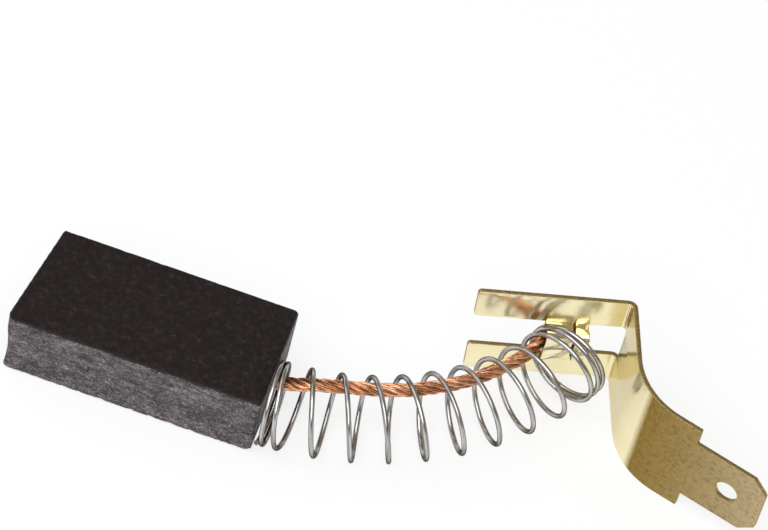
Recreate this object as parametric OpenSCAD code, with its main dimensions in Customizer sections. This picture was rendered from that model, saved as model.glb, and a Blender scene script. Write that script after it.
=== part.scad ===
// Carbon brush for a small commutator motor: a pressed carbon block, a bare copper shunt
// tamped into its end, a bowed compression spring around the shunt, and a brass terminal
// stamped from one strip, bent, and crimped onto the shunt.
// It lies as it rests on a table: the block on a broad face, the strip on its long edge.
// +X runs from the working end of the block towards the spring, +Z is up.
// The origin is the middle of the block's underside.

/* [Carbon block] */
// Length of the block along its longest edge
block_len = 20.5; // [16:0.5:26]
// Width of the broad faces
block_wid = 10; // [8:0.5:14]
// Thickness, between the broad faces
block_thk = 6; // [5:0.25:6.5]
// Bevel of the pressed edges
block_bevel = 0.15; // [0.05:0.05:0.3]
// Radius of the commutator that has ground the working end hollow
face_radius = 15; // [12:1:40]
// Height of the commutator's axis above the underside
face_axis_z = 2.2; // [0:0.1:5]
// Skew of the working end across the width, in degrees
face_skew = 7.7; // [0:0.1:12]

/* [Tamped joint] */
// Diameter of the hole in the end of the block
socket_dia = 2.4; // [2:0.1:3]
// Depth of that hole
socket_depth = 4.5; // [3:0.25:6]
// How far the copper powder stands below the end face
plug_recess = 0.15; // [0.05:0.05:0.5]

/* [Shunt] */
// Diameter of the stranded copper shunt
shunt_dia = 1.1; // [0.8:0.05:1.2]

/* [Spring] */
// Diameter of the spring wire
wire_dia = 0.4; // [0.3:0.05:0.5]
// Outer diameter of the coils
coil_dia = 6.9; // [6.6:0.1:8]
// Turns that lie closed against the block
turns_block = 1.35; // [1:0.05:2]
// Turns that stand open
turns_open = 9.1; // [7:0.1:12]
// Turns that lie closed against the terminal
turns_terminal = 2.5; // [1.5:0.1:3]
// Pitch of the open turns
pitch_open = 2.6; // [2:0.05:3]
// Angle through which the spring bows in plan, in degrees
bow_angle = 60; // [45:1:65]

/* [Terminal] */
// Thickness of the brass strip
strip_thk = 0.4; // [0.3:0.05:0.5]
// Width of the strip, which stands upright
strip_wid = 9.5; // [9:0.25:11]
// Width of the plug-in tab
tab_wid = 6.3; // [4.8:0.1:6.3]
// Length of the tab beyond the shoulders
tab_len = 6.45; // [6:0.05:9]
// Diameter of the hole in the tab
tab_hole_dia = 1.9; // [1.4:0.1:2.2]
// Gap between the two arms of the fork
fork_gap = 3.6; // [3.4:0.1:4]
// Radius of the sweep between the web and the tab, on its outer side
sweep_radius = 6.5; // [5:0.5:8]
// Angle of that sweep, in degrees
sweep_angle = 56; // [40:1:70]

/* [Hidden] */
$fn = 64;
eps = 0.01;

end_x = block_len / 2;
mid_z = block_thk / 2;

// The end of the block's near top edge is chipped away: along X, along Y and down Z.
chip = [0.4, 0.9, 4];

// The plug stops short of the end face; the shunt stops short of the hole's bottom.
shunt_depth = socket_depth - 0.5;

// The bowed axis of the spring, in plan: one long arc, then a short tight one that leans the
// closed turns over onto the fork. Distances along it start at the first turn.
wire_r = wire_dia / 2;
coil_r = coil_dia / 2 - wire_r;
blend_turns = 0.75;
pitch_closed = wire_dia * 1.05;
lean_len = 1.2;
lean_angle = 10;
turns = turns_block + turns_open + turns_terminal;
axis_len = travel(turns);
bow_len = axis_len - lean_len;
bow_radius = bow_len / (bow_angle * PI / 180);
lean_radius = lean_len / (lean_angle * PI / 180);
axis_start_angle = 0;
axis_end_angle = axis_start_angle + bow_angle + lean_angle;
steps_per_turn = 24;
wire_sides = 8;
first_turn_angle = -140;

// The spring lies on the table at the block, and is centred on the fork at the terminal.
axis_z0 = coil_dia / 2;
axis_z1 = strip_wid / 2;
// At the block it is drawn over until the shunt touches the inside of its first turns.
ride = coil_dia / 2 - wire_dia - shunt_dia / 2 - 0.05;
axis_x0 = end_x + wire_r + eps;
axis_y0 = -sqrt(pow(ride, 2) - pow(axis_z0 - mid_z, 2));

// The terminal's own frame: its origin is level with the middle of the last turn, on the face
// of the fork that the spring presses on; x runs to the bend and y away from the spring.
fork_angle = 18.4;
fork_lean = fork_angle + 90 - axis_end_angle;
seat = sin(fork_lean) * sqrt(pow(coil_dia / 2, 2) - pow(fork_gap / 2, 2)) + wire_r + 0.05;
axis_end = axis_point(axis_len);
fork_at = [axis_end[0] - sin(fork_angle) * seat, axis_end[1] + cos(fork_angle) * seat, 0];
fork_reach = 7.9;
tip_slant = 0.55;
corner_r = 0.3;
corner_steps = 5;
bend_r = 0.35;
web_x = 4.2;
web_run = 5.2;
tab_flat = 2.05;
tab_bevel = [1.25, 1.15];
hole_at = 3.4;
arm_wid = (strip_wid - fork_gap) / 2;

// The crimp between the arms: a wide claw, a gap and a narrow one, along x.
crimp_from = -2;
crimp_to = 1.4;
claw_gap = [0.15, 0.4];
crimp_wall = 0.35;
crimp_half_y = 0.45;
crimp_half_z = 0.95;
crimp_y = -crimp_half_y - 0.02;
// The gap that is left between the tips of a claw.
seam = 0.1;
// The claws open out where the shunt comes in: how far along and how much all round.
mouth = [1, 0.2];

// The shunt's route where it lies free inside the spring. Each station is a distance along the
// spring's axis, the offset from that axis to the inside of the bow, and a height.
shunt_stations = [
    [1.5, 2.42, 3.2], [3.5, 2.4, 3.8], [6, 2.35, 4.35], [9, 2.25, 4.65], [12, 2.15, 4.75],
    [15, 2.15, 4.75], [18, 2.2, 4.75], [21, 2.3, 4.75], [23.5, 2.35, 4.75]
];
shunt_sides = 8;
shunt_rings_per_span = 3;

function rot(p, a) = [p[0] * cos(a) - p[1] * sin(a), p[0] * sin(a) + p[1] * cos(a)];
function unit(v) = v / norm(v);

// Integral of a smooth step of width w, used to open and close the turns.
function ramp(t, w) =
    t <= 0 ? 0 : t >= w ? t - w / 2 : w * (pow(t / w, 3) - pow(t / w, 4) / 2);

// Distance along the spring's axis after a number of turns.
function travel(t) =
    pitch_closed * t + (pitch_open - pitch_closed)
        * (ramp(t - turns_block, blend_turns) - ramp(t - turns_block - turns_open, blend_turns));

function axis_angle(s) =
    s < bow_len
        ? axis_start_angle + s / bow_radius * 180 / PI
        : axis_start_angle + bow_angle + (s - bow_len) / lean_radius * 180 / PI;

function arc_step(from, r, a0, a1) = from + r * [sin(a1) - sin(a0), cos(a0) - cos(a1)];

function axis_plan(s) =
    s < bow_len
        ? arc_step([axis_x0, axis_y0], bow_radius, axis_start_angle, axis_angle(s))
        : arc_step(axis_plan(bow_len - eps), lean_radius, axis_start_angle + bow_angle, axis_angle(s));

function axis_point(s) =
    let (p = axis_plan(s)) [p[0], p[1], axis_z0 + (axis_z1 - axis_z0) * s / axis_len];

// A point beside the axis: offset to the inside of the bow, and up.
function beside(s, inset, z) =
    let (p = axis_plan(s), a = axis_angle(s)) [p[0] - inset * sin(a), p[1] + inset * cos(a), z];

function wire_point(t) =
    let (s = travel(t), a = axis_angle(s), turn = first_turn_angle + 360 * t, c = axis_point(s))
        c + coil_r * [-sin(a) * cos(turn), cos(a) * cos(turn), sin(turn)];

function fork_point(p) = fork_at + [rot(p, fork_angle)[0], rot(p, fork_angle)[1], p[2]];

// Smooth curve through a list of points (Catmull-Rom), n rings to each span.
function curve_point(p0, p1, p2, p3, u) =
    0.5 * (2 * p1 + (p2 - p0) * u + (2 * p0 - 5 * p1 + 4 * p2 - p3) * u * u
        + (3 * p1 - p0 - 3 * p2 + p3) * u * u * u);
function curve(pts, n) = concat(
    [for (i = [1 : len(pts) - 3]) for (k = [0 : n - 1])
        curve_point(pts[i - 1], pts[i], pts[i + 1], pts[i + 2], k / n)],
    [pts[len(pts) - 2]]
);

// A tube through a list of points. sizes gives the half width and half height of each ring, and
// up the direction in which the height is measured.
module tube(pts, sizes, ups, sides) {
    n = len(pts);
    points = [for (i = [0 : n - 1])
        let (
            along = unit(pts[min(i + 1, n - 1)] - pts[max(i - 1, 0)]),
            side = unit(cross(along, ups[i])),
            rise = cross(side, along)
        )
        for (k = [0 : sides - 1])
            pts[i] + sizes[i][0] * cos(360 * (k + 0.5) / sides) * side
                + sizes[i][1] * sin(360 * (k + 0.5) / sides) * rise];
    walls = [for (i = [0 : n - 2]) for (k = [0 : sides - 1])
        let (a = i * sides + k, b = i * sides + (k + 1) % sides)
        each [[a, b, b + sides], [a, b + sides, a + sides]]];
    ends = [
        [for (k = [sides - 1 : -1 : 0]) k],
        [for (k = [0 : sides - 1]) (n - 1) * sides + k]
    ];
    polyhedron(points, concat(walls, ends), convexity = 10);
}

// A block with all its edges bevelled: three bevelled outlines, extruded across each other.
module bevelled_outline(a, b, c) {
    polygon([
        [c, 0], [a - c, 0], [a, c], [a, b - c], [a - c, b], [c, b], [0, b - c], [0, c]
    ]);
}

module bevelled_block(size, c) {
    intersection() {
        linear_extrude(size[2]) bevelled_outline(size[0], size[1], c);
        translate([0, size[1], 0]) rotate([90, 0, 0])
            linear_extrude(size[1]) bevelled_outline(size[0], size[2], c);
        rotate([90, 0, 90]) linear_extrude(size[0]) bevelled_outline(size[1], size[2], c);
    }
}

// The cylinder of the commutator, which cuts the working end.
module commutator() {
    rise = block_thk - face_axis_z;
    reach = sqrt(pow(face_radius, 2) - pow(rise, 2)) / cos(face_skew);
    translate([-end_x - reach, -block_wid / 2, face_axis_z]) rotate([-90, 0, -face_skew])
        translate([0, 0, -block_wid]) cylinder(r = face_radius, h = 4 * block_wid, $fn = 360);
}

// What is chipped off the near top corner of the working end.
module chipped_corner() {
    out = [-1 / chip[0], -1 / chip[1], 1 / chip[2]];
    size = 4 * max(chip);
    translate([-end_x + chip[0], -block_wid / 2, block_thk])
        rotate([0, acos(out[2] / norm(out)), atan2(out[1], out[0])])
            translate([-size / 2, -size / 2, 0]) cube(size);
}

module carbon_block() {
    color([0.17, 0.155, 0.15])
    difference() {
        translate([-end_x - 1, -block_wid / 2, 0])
            bevelled_block([block_len + 1, block_wid, block_thk], block_bevel);
        commutator();
        chipped_corner();
        translate([end_x - socket_depth, 0, mid_z]) rotate([0, 90, 0])
            cylinder(d = socket_dia, h = socket_depth + 1);
    }
}

// Copper powder rammed around the shunt; its mouth is dished.
module tamping_plug() {
    color([0.45, 0.26, 0.18])
    difference() {
        translate([end_x - socket_depth, 0, mid_z]) rotate([0, 90, 0])
            cylinder(d = socket_dia, h = socket_depth - plug_recess);
        translate([end_x - shunt_depth, 0, mid_z]) rotate([0, 90, 0])
            cylinder(d = shunt_dia, h = socket_depth);
        translate([end_x - plug_recess - 0.2, 0, mid_z]) rotate([0, 90, 0])
            cylinder(d1 = shunt_dia, d2 = socket_dia - 0.3, h = 0.2 + eps);
    }
}

// The shunt runs straight in the plug, then along the inside of the bow and into the crimp.
// On its way in it is squeezed thinner, then taller, to the upright oval of the claws.
module shunt() {
    r = shunt_dia / 2;
    start = [for (x = [-shunt_depth - 1.5, -shunt_depth, -1.2, 0.3]) [end_x + x, 0, mid_z]];
    free = [for (q = shunt_stations) beside(q[0], q[1], q[2])];
    crimped = [for (x = [crimp_from - 0.05, crimp_from + 1, crimp_to, crimp_to + 0.4, crimp_to + 1.5])
        fork_point([x, crimp_y, strip_wid / 2])];
    pts = curve(concat(start, free, crimped), shunt_rings_per_span);
    n = len(pts);
    squeezed_from = n - 1 - len(crimped) * shunt_rings_per_span;
    sizes = [for (i = [0 : n - 1])
        let (
            spans = (i - squeezed_from) / shunt_rings_per_span,
            thin = min(1, max(0, spans)),
            tall = min(1, max(0, spans - 1))
        )
        [r + (crimp_half_y - r) * thin, r + (crimp_half_z - r) * tall]];
    color([0.72, 0.40, 0.26])
    tube(pts, sizes, [for (p = pts) [0, 0, 1]], shunt_sides);
}

module spring() {
    count = ceil(turns * steps_per_turn);
    times = [for (i = [0 : count]) turns * i / count];
    pts = [for (t = times) wire_point(t)];
    ups = [for (t = times) unit(wire_point(t) - axis_point(travel(t)))];
    color([0.66, 0.66, 0.65])
    tube(pts, [for (t = times) [wire_r, wire_r]], ups, wire_sides);
}

// The bent strip at its full width, before anything is cut out of it.
module bent_strip() {
    translate([-fork_reach, 0, 0]) cube([fork_reach + web_x - bend_r, strip_thk, strip_wid]);
    translate([web_x - bend_r, -bend_r, 0]) rotate_extrude(angle = 90)
        translate([bend_r, 0]) square([strip_thk, strip_wid]);
    translate([web_x, -web_run, 0]) cube([strip_thk, web_run - bend_r, strip_wid]);
    translate([web_x + sweep_radius, -web_run, 0]) rotate([0, 0, 180])
        rotate_extrude(angle = sweep_angle)
            translate([sweep_radius - strip_thk, 0]) square([strip_thk, strip_wid]);
    tab_frame() cube([tab_flat + tab_len, strip_thk, strip_wid]);
}

// Places its children at the start of the flat that carries the tab.
module tab_frame() {
    centre = [web_x + sweep_radius, -web_run];
    start = centre - sweep_radius * [cos(sweep_angle), sin(sweep_angle)];
    translate([start[0], start[1], 0]) rotate([0, 0, sweep_angle - 90]) children();
}

// A convex outline, its corners listed anticlockwise, rounded as the press leaves them.
module rounded_outline(corners) {
    polygon([for (i = [0 : len(corners) - 1])
        let (
            last = way(corners, i, -1), next = way(corners, i, 1),
            half = acos(last * next) / 2,
            centre = corners[i] + unit(last + next) * corner_r / sin(half),
            start = corners[i] + last * corner_r / tan(half) - centre
        )
        for (k = [0 : corner_steps]) centre + rot(start, (180 - 2 * half) * k / corner_steps)]);
}

function way(corners, i, step) =
    let (n = len(corners)) unit(corners[(i + step + n) % n] - corners[i]);

// What the press cuts away beside and beyond the tab, and its hole.
module tab_cutouts() {
    deep = 3 * strip_thk;
    side = (strip_wid - tab_wid) / 2;
    end = tab_flat + tab_len;
    translate([0, 2 * strip_thk, 0]) rotate([90, 0, 0]) linear_extrude(deep) {
        difference() {
            translate([tab_flat, -1]) square([tab_len + 1, strip_wid + 2]);
            rounded_outline([
                [tab_flat - 1, side], [end - tab_bevel[0], side], [end, side + tab_bevel[1]],
                [end, strip_wid - side - tab_bevel[1]], [end - tab_bevel[0], strip_wid - side],
                [tab_flat - 1, strip_wid - side]
            ]);
        }
        translate([tab_flat + hole_at, strip_wid / 2]) circle(d = tab_hole_dia);
    }
}

// What the press cuts away between the arms of the fork and at their slanted tips, and the
// window behind the crimp.
module fork_cutouts() {
    deep = strip_thk + 0.4;
    length = fork_reach + crimp_from;
    translate([-fork_reach, deep - 0.2, 0]) rotate([90, 0, 0]) linear_extrude(deep)
        difference() {
            translate([-1, -1]) square([length + 1, strip_wid + 2]);
            for (low = [0, strip_wid - arm_wid])
                rounded_outline([
                    [tip_at(low), low], [length + 1, low], [length + 1, low + arm_wid],
                    [tip_at(low + arm_wid), low + arm_wid]
                ]);
        }
    translate([crimp_to, -bend_r - 0.15, arm_wid])
        cube([web_x + 1 - crimp_to, strip_thk + 2 * bend_r + 0.2, fork_gap]);
}

// How far the slanted tips stand back at a height on the strip.
function tip_at(height) = tip_slant * (1 - height / strip_wid);

// A claw folded over the shunt: an oval barrel whose back is the strip between the arms.
module claw(from, to) {
    r = crimp_half_y + crimp_wall;
    rise = crimp_half_z - crimp_half_y;
    translate([from, crimp_y, strip_wid / 2]) rotate([0, 90, 0]) {
        for (dz = [-rise, rise]) translate([dz, 0, 0]) cylinder(r = r, h = to - from, $fn = 48);
        translate([-rise, -r + 0.12, 0]) cube([2 * rise, r - 0.12 - crimp_y, to - from]);
    }
}

// The room for the shunt inside the claws, from one end to the other and wider all round by room.
module crimp_bore(from, to, room) {
    r = crimp_half_y + room;
    rise = crimp_half_z - crimp_half_y;
    translate([from, crimp_y, strip_wid / 2]) rotate([0, 90, 0]) {
        for (dz = [-rise, rise]) translate([dz, 0, 0]) cylinder(r = r, h = to - from, $fn = 48);
        translate([-rise, -r, 0]) cube([2 * rise, 2 * r, to - from]);
    }
}

// The seam where the tips of each claw meet, and the valley where they curl in.
module claw_seam() {
    outer_y = crimp_y - crimp_half_y - crimp_wall;
    translate([crimp_from - eps, 0, strip_wid / 2]) rotate([90, 0, 90])
        linear_extrude(crimp_to - crimp_from + 2 * eps) {
            polygon([[outer_y - 0.1, -0.35], [outer_y + 0.15, 0], [outer_y - 0.1, 0.35]]);
            translate([outer_y, -seam / 2]) square([2 * crimp_wall, seam]);
        }
}

module terminal() {
    color([0.80, 0.68, 0.38])
    translate(fork_at) rotate([0, 0, fork_angle])
    difference() {
        union() {
            difference() {
                bent_strip();
                fork_cutouts();
                tab_frame() tab_cutouts();
            }
            claw(crimp_from, claw_gap[0]);
            claw(claw_gap[1], crimp_to);
        }
        crimp_bore(crimp_from - 1, crimp_to + 1, 0);
        crimp_bore(crimp_from - 1, crimp_from + mouth[0], mouth[1]);
        claw_seam();
    }
}

carbon_block();
tamping_plug();
shunt();
spring();
terminal();
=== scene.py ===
# %% [markdown]
# # A carbon brush for a small motor
#
# The brush is five separate things: a block of pressed carbon, copper powder rammed into a
# hole in its end, a stranded copper shunt, a bowed compression spring around the shunt, and a
# brass terminal that is stamped from one strip, bent, and crimped onto the shunt.
#
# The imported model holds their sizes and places. This lesson loads it as a fixed frame and
# dresses it. The block, the spring, the shunt and the terminal are made again as finer meshes
# in the same place, and the powder plug keeps its own mesh and only gets a finish.

# %% Load the frame
import bpy
import bmesh
import math
from mathutils import Matrix, Vector, noise


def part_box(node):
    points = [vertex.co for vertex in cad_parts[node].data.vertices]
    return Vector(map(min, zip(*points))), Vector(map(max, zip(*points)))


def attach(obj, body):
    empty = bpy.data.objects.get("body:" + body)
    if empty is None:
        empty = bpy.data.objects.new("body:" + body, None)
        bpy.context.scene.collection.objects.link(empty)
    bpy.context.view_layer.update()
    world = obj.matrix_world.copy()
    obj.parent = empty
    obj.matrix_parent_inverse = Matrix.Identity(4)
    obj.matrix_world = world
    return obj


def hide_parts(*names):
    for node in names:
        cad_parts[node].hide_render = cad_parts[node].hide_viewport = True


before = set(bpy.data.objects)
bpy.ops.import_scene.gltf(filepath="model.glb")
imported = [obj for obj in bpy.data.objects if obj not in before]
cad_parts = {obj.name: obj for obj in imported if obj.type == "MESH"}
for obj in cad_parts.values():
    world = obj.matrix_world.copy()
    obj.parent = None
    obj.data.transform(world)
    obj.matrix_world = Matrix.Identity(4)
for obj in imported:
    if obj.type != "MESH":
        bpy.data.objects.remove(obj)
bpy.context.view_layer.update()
MM = 0.001
print("nodes:", sorted(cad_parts))

# %% [markdown]
# ## The camera
#
# A camera can be placed by hand until the view looks right, or worked out. Here it is worked
# out from four plain facts: what it looks at, the direction it looks from, how far it is, and
# how much it is rolled. A long lens from far off keeps the parallel edges of the block nearly
# parallel. The camera's own axes are its right, its up and its back, and they become the
# columns of its matrix.

# %% Place the camera
AIM = Vector((15.112, 10.259, 8.064)) * MM
AZIMUTH, ELEVATION, ROLL = (math.radians(a) for a in (-85.67, 50.73, 15.77))
DISTANCE = 384.6 * MM
SENSOR_WIDTH, FOCAL_LENGTHS_PER_WIDTH = 36, 6.5104
NEAREST, FARTHEST = 0.01, 10


def direction(azimuth, elevation):
    """The unit vector towards an azimuth and an elevation."""
    return Vector((
        math.cos(elevation) * math.cos(azimuth),
        math.cos(elevation) * math.sin(azimuth),
        math.sin(elevation),
    ))


def add_object(name, data):
    thing = bpy.data.objects.new(name, data)
    bpy.context.scene.collection.objects.link(thing)
    return thing


back = direction(AZIMUTH, ELEVATION)
level_right = Vector((0, 0, 1)).cross(back).normalized()
level_up = back.cross(level_right)
right = level_right * math.cos(ROLL) + level_up * math.sin(ROLL)
up = back.cross(right)

camera_data = bpy.data.cameras.new("camera")
camera_data.sensor_width = SENSOR_WIDTH
camera_data.lens = SENSOR_WIDTH * FOCAL_LENGTHS_PER_WIDTH
camera_data.clip_start, camera_data.clip_end = NEAREST, FARTHEST
camera = add_object("camera", camera_data)
place = Matrix((right, up, back)).transposed().to_4x4()
place.translation = AIM + back * DISTANCE
camera.matrix_world = place
bpy.context.scene.camera = camera
print("camera at", [round(c, 4) for c in place.translation], "m")

# %% [markdown]
# ## Sizes in millimetres
#
# The block's end face and thickness are read from the frame. The spring, the shunt and the
# terminal bend in ways that a box can't tell, so their few driving sizes are written here
# once, with the names that the part's own source uses.

# %% Sizes of the pieces
block_low, block_high = (Vector(corner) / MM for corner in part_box("carbon_block"))
END_X = block_high.x
BLOCK_THICKNESS = block_high.z - block_low.z
MID_Z = BLOCK_THICKNESS / 2
BLOCK_HALF_WIDTH = (block_high.y - block_low.y) / 2

SHUNT_DIA = 1.1
SHUNT_DEPTH = 4.0

WIRE_DIA = 0.4
COIL_DIA = 6.9
TURNS_BLOCK, TURNS_OPEN, TURNS_TERMINAL = 1.35, 9.1, 2.5
PITCH_OPEN = 2.6
PITCH_CLOSED = WIRE_DIA * 1.05
BLEND_TURNS = 0.75
BOW_ANGLE, LEAN_ANGLE, LEAN_LENGTH = math.radians(60), math.radians(10), 1.2
FIRST_TURN = -140 / 360

STRIP_THICKNESS = 0.4
STRIP_WIDTH = 9.5
TAB_WIDTH, TAB_LENGTH, TAB_FLAT = 6.3, 6.45, 2.05
FORK_GAP, FORK_REACH, FORK_ANGLE = 3.6, 7.9, math.radians(18.4)
BEND_RADIUS = 0.35
WEB_X, WEB_RUN = 4.2, 5.2
SWEEP_RADIUS, SWEEP_ANGLE = 6.5, math.radians(56)
CRIMP_FROM, CRIMP_TO = -2.0, 1.4
CRIMP_WALL, CRIMP_HALF_Y, CRIMP_HALF_Z = 0.35, 0.45, 0.95
# Things that lie against each other keep these small gaps.
TOUCH_GAP, END_GAP, CRIMP_GAP = 0.05, 0.01, 0.02
CRIMP_Y = -CRIMP_HALF_Y - CRIMP_GAP
print("block ends at", round(END_X, 3), "mm and is", round(BLOCK_THICKNESS, 3), "mm thick")

# %% [markdown]
# ## The spring's axis
#
# A coil spring follows an axis, and here the axis is bowed: one long arc and then a short
# tight one, which leans the closed end turns over onto the terminal's fork. The wire travels
# little along the axis where the turns are closed and a whole pitch where they are open. A
# smooth step between the two rates keeps the wire from kinking, as the coiling machine does.

# %% Functions of the axis
def eased(turns, width):
    """Integral of a smooth step that opens over width turns."""
    if turns <= 0:
        return 0.0
    if turns >= width:
        return turns - width / 2
    u = turns / width
    return width * (u ** 3 - u ** 4 / 2)


def travel(turns):
    """Distance along the axis after a number of turns."""
    opening = eased(turns - TURNS_BLOCK, BLEND_TURNS)
    closing = eased(turns - TURNS_BLOCK - TURNS_OPEN, BLEND_TURNS)
    return PITCH_CLOSED * turns + (PITCH_OPEN - PITCH_CLOSED) * (opening - closing)


TURNS = TURNS_BLOCK + TURNS_OPEN + TURNS_TERMINAL
AXIS_LENGTH = travel(TURNS)
BOW_LENGTH = AXIS_LENGTH - LEAN_LENGTH
AXIS_Z0, AXIS_Z1 = COIL_DIA / 2, STRIP_WIDTH / 2
ride_radius = COIL_DIA / 2 - WIRE_DIA - SHUNT_DIA / 2 - TOUCH_GAP
AXIS_START = Vector((
    END_X + WIRE_DIA / 2 + END_GAP,
    -math.sqrt(ride_radius ** 2 - (AXIS_Z0 - MID_Z) ** 2),
))


def arc_step(start, radius, a0, a1):
    """Where an arc leads in plan, from one heading to another."""
    return start + radius * Vector((math.sin(a1) - math.sin(a0), math.cos(a0) - math.cos(a1)))


def axis_plan(s):
    """Plan position and heading of the axis, a distance s along it."""
    bow_radius = BOW_LENGTH / BOW_ANGLE
    if s < BOW_LENGTH:
        return arc_step(AXIS_START, bow_radius, 0, s / bow_radius), s / bow_radius
    bow_end = arc_step(AXIS_START, bow_radius, 0, BOW_ANGLE)
    heading = BOW_ANGLE + (s - BOW_LENGTH) / (LEAN_LENGTH / LEAN_ANGLE)
    return arc_step(bow_end, LEAN_LENGTH / LEAN_ANGLE, BOW_ANGLE, heading), heading


def axis_point(s):
    plan, heading = axis_plan(s)
    return Vector((plan.x, plan.y, AXIS_Z0 + (AXIS_Z1 - AXIS_Z0) * s / AXIS_LENGTH))


def beside(s, inset, z):
    """A point beside the axis, offset to the inside of the bow."""
    plan, heading = axis_plan(s)
    return Vector((plan.x - inset * math.sin(heading), plan.y + inset * math.cos(heading), z))


print("axis", round(AXIS_LENGTH, 2), "mm long, with", round(TURNS, 2), "turns")

# %% [markdown]
# ## The fork's place
#
# The fork stands where the last turn of the spring can lean on both of its arms. A round turn
# meets the arms on two chords, so the seat lies a little in front of the turn's centre. From
# here on, the terminal is drawn in a frame of its own, with the fork at its origin, and
# fork_point carries it over to the part's frame.

# %% Seat the fork
fork_lean = FORK_ANGLE + math.pi / 2 - BOW_ANGLE - LEAN_ANGLE
seat_half = math.sqrt((COIL_DIA / 2) ** 2 - (FORK_GAP / 2) ** 2)
SEAT = math.sin(fork_lean) * seat_half + WIRE_DIA / 2 + TOUCH_GAP
axis_end = axis_point(AXIS_LENGTH)
FORK_AT = Vector((
    axis_end.x - math.sin(FORK_ANGLE) * SEAT,
    axis_end.y + math.cos(FORK_ANGLE) * SEAT,
    0,
))


def fork_point(x, y, z):
    """From the terminal's own frame to the part's."""
    return FORK_AT + Matrix.Rotation(FORK_ANGLE, 3, "Z") @ Vector((x, y, z))


print("fork at", [round(c, 2) for c in FORK_AT])

# %% [markdown]
# ## Small helpers for nodes
#
# Materials and shapes are both made of nodes here. Written out, each node takes four or five
# lines, so add_node makes one in a single call: a socket that it is given is linked, and a
# plain value is set. Two nodes that do sums, one on numbers and one on vectors, are needed so
# often that they have a helper each.

# %% Helpers for nodes
def add_node(tree, kind, inputs=(), **settings):
    """A new node, with its settings made and its inputs linked or set."""
    node = tree.nodes.new(kind)
    for name, value in settings.items():
        setattr(node, name, value)
    for key, value in dict(inputs).items():
        if isinstance(value, bpy.types.NodeSocket):
            tree.links.new(value, node.inputs[key])
        else:
            node.inputs[key].default_value = value
    return node


def math_node(tree, operation, *values):
    return add_node(tree, "ShaderNodeMath", enumerate(values), operation=operation).outputs[0]


def vector_node(tree, operation, *values, **others):
    inputs = {**dict(enumerate(values)), **others}
    return add_node(tree, "ShaderNodeVectorMath", inputs, operation=operation).outputs[0]


print("node helpers ready")

# %% [markdown]
# ## Small helpers for finishes
#
# Each finish is one Principled shader. What varies over the surface goes through noise and a
# colour ramp, and what is the same all over is set on the shader's own socket. The noise is
# read in object coordinates, so its size is written in real millimetres. A socket knows the
# tree it belongs to, so a helper that starts from a socket needs to be told nothing else.

# %% Helpers for finishes
def start_finish(name, plain):
    """A new material, with what is the same all over set on its shader."""
    finish = bpy.data.materials.new(name)
    finish.use_nodes = True
    shader = finish.node_tree.nodes["Principled BSDF"]
    for socket, value in plain.items():
        shader.inputs[socket].default_value = value
    return finish, finish.node_tree, shader


def paint(shader, colour, roughness):
    links = shader.id_data.links
    links.new(colour, shader.inputs["Base Color"])
    links.new(roughness, shader.inputs["Roughness"])


def read_attribute(tree, name):
    return add_node(tree, "ShaderNodeAttribute", attribute_name=name).outputs["Fac"]


def object_place(tree, stretch=(1, 1, 1)):
    """Object coordinates in millimetres, drawn out along an axis where the grain is."""
    place = add_node(tree, "ShaderNodeTexCoord").outputs["Object"]
    return add_node(tree, "ShaderNodeMapping", {
        "Vector": place, "Scale": [1 / MM / s for s in stretch],
    }).outputs["Vector"]


def attribute_place(tree, names, scale):
    """Coordinates that follow the surface, read from attributes of the mesh."""
    join = add_node(
        tree, "ShaderNodeCombineXYZ", enumerate(read_attribute(tree, name) for name in names)
    )
    return vector_node(tree, "MULTIPLY", join.outputs["Vector"], scale)


print("finish helpers ready")

# %% [markdown]
# ## Patterns and mixtures
#
# Noise gives soft lumps, and Voronoi cells give hard flakes. A colour ramp turns either into
# colours or into a roughness, Mix lays one over another, and Bump makes a relief of it.

# %% Helpers for patterns
def grain(place, size, detail, rough):
    """Noise whose lumps are about size millimetres across."""
    return add_node(place.id_data, "ShaderNodeTexNoise", {
        "Vector": place, "Scale": 0.5 / size, "Detail": detail, "Roughness": rough,
    }).outputs["Fac"]


def flakes(place, size):
    """Small cells, each with a random level of its own."""
    tree = place.id_data
    cells = add_node(tree, "ShaderNodeTexVoronoi", {"Vector": place, "Scale": 1 / size})
    split = add_node(tree, "ShaderNodeSeparateColor", {"Color": cells.outputs["Color"]})
    return split.outputs["Red"]


def shade(amount, *stops):
    """A colour ramp. Each stop is a position and a grey level or a colour."""
    ramp = add_node(amount.id_data, "ShaderNodeValToRGB", {"Fac": amount})
    elements = ramp.color_ramp.elements
    while len(elements) < len(stops):
        elements.new(0.5)
    for element, (position, colour) in zip(elements, stops):
        element.position = position
        element.color = (*colour, 1) if isinstance(colour, tuple) else (*[colour] * 3, 1)
    return ramp.outputs["Color"]


def mixed(amount, first, second, way="MIX"):
    return add_node(first.id_data, "ShaderNodeMix", {
        "Factor": amount, "A": first, "B": second,
    }, data_type="RGBA", blend_type=way).outputs["Result"]


def multiplied(first, second):
    return mixed(1.0, first, second, "MULTIPLY")


def relief(shader, height, depth, below=None):
    """Adds a bump whose full height is depth millimetres, on top of the one below."""
    inputs = {"Height": height, "Distance": depth * MM}
    if below is not None:
        inputs["Normal"] = below
    bump = add_node(shader.id_data, "ShaderNodeBump", inputs).outputs["Normal"]
    shader.id_data.links.new(bump, shader.inputs["Normal"])
    return bump


print("pattern helpers ready")

# %% [markdown]
# ## Pressed carbon
#
# Carbon-graphite is powder that is pressed in a die and baked. The broad faces are smooth and
# painted nearly black, and the narrow ones show the grain and are painted much lighter, so the
# two are painted shade and painted light on one carbon. The small flakes of graphite get pale
# colours as painted glints. The working end is polished by the commutator in fine lines.
# The mesh carries two attributes, narrow and worn, that say where each look belongs. A
# painted image could show the same, but noise needs no unwrapping and leaves no seams.

# %% Finish of the carbon
MOTTLE_SHARE, FLAKE_SHARE = 0.62, 0.55


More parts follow.
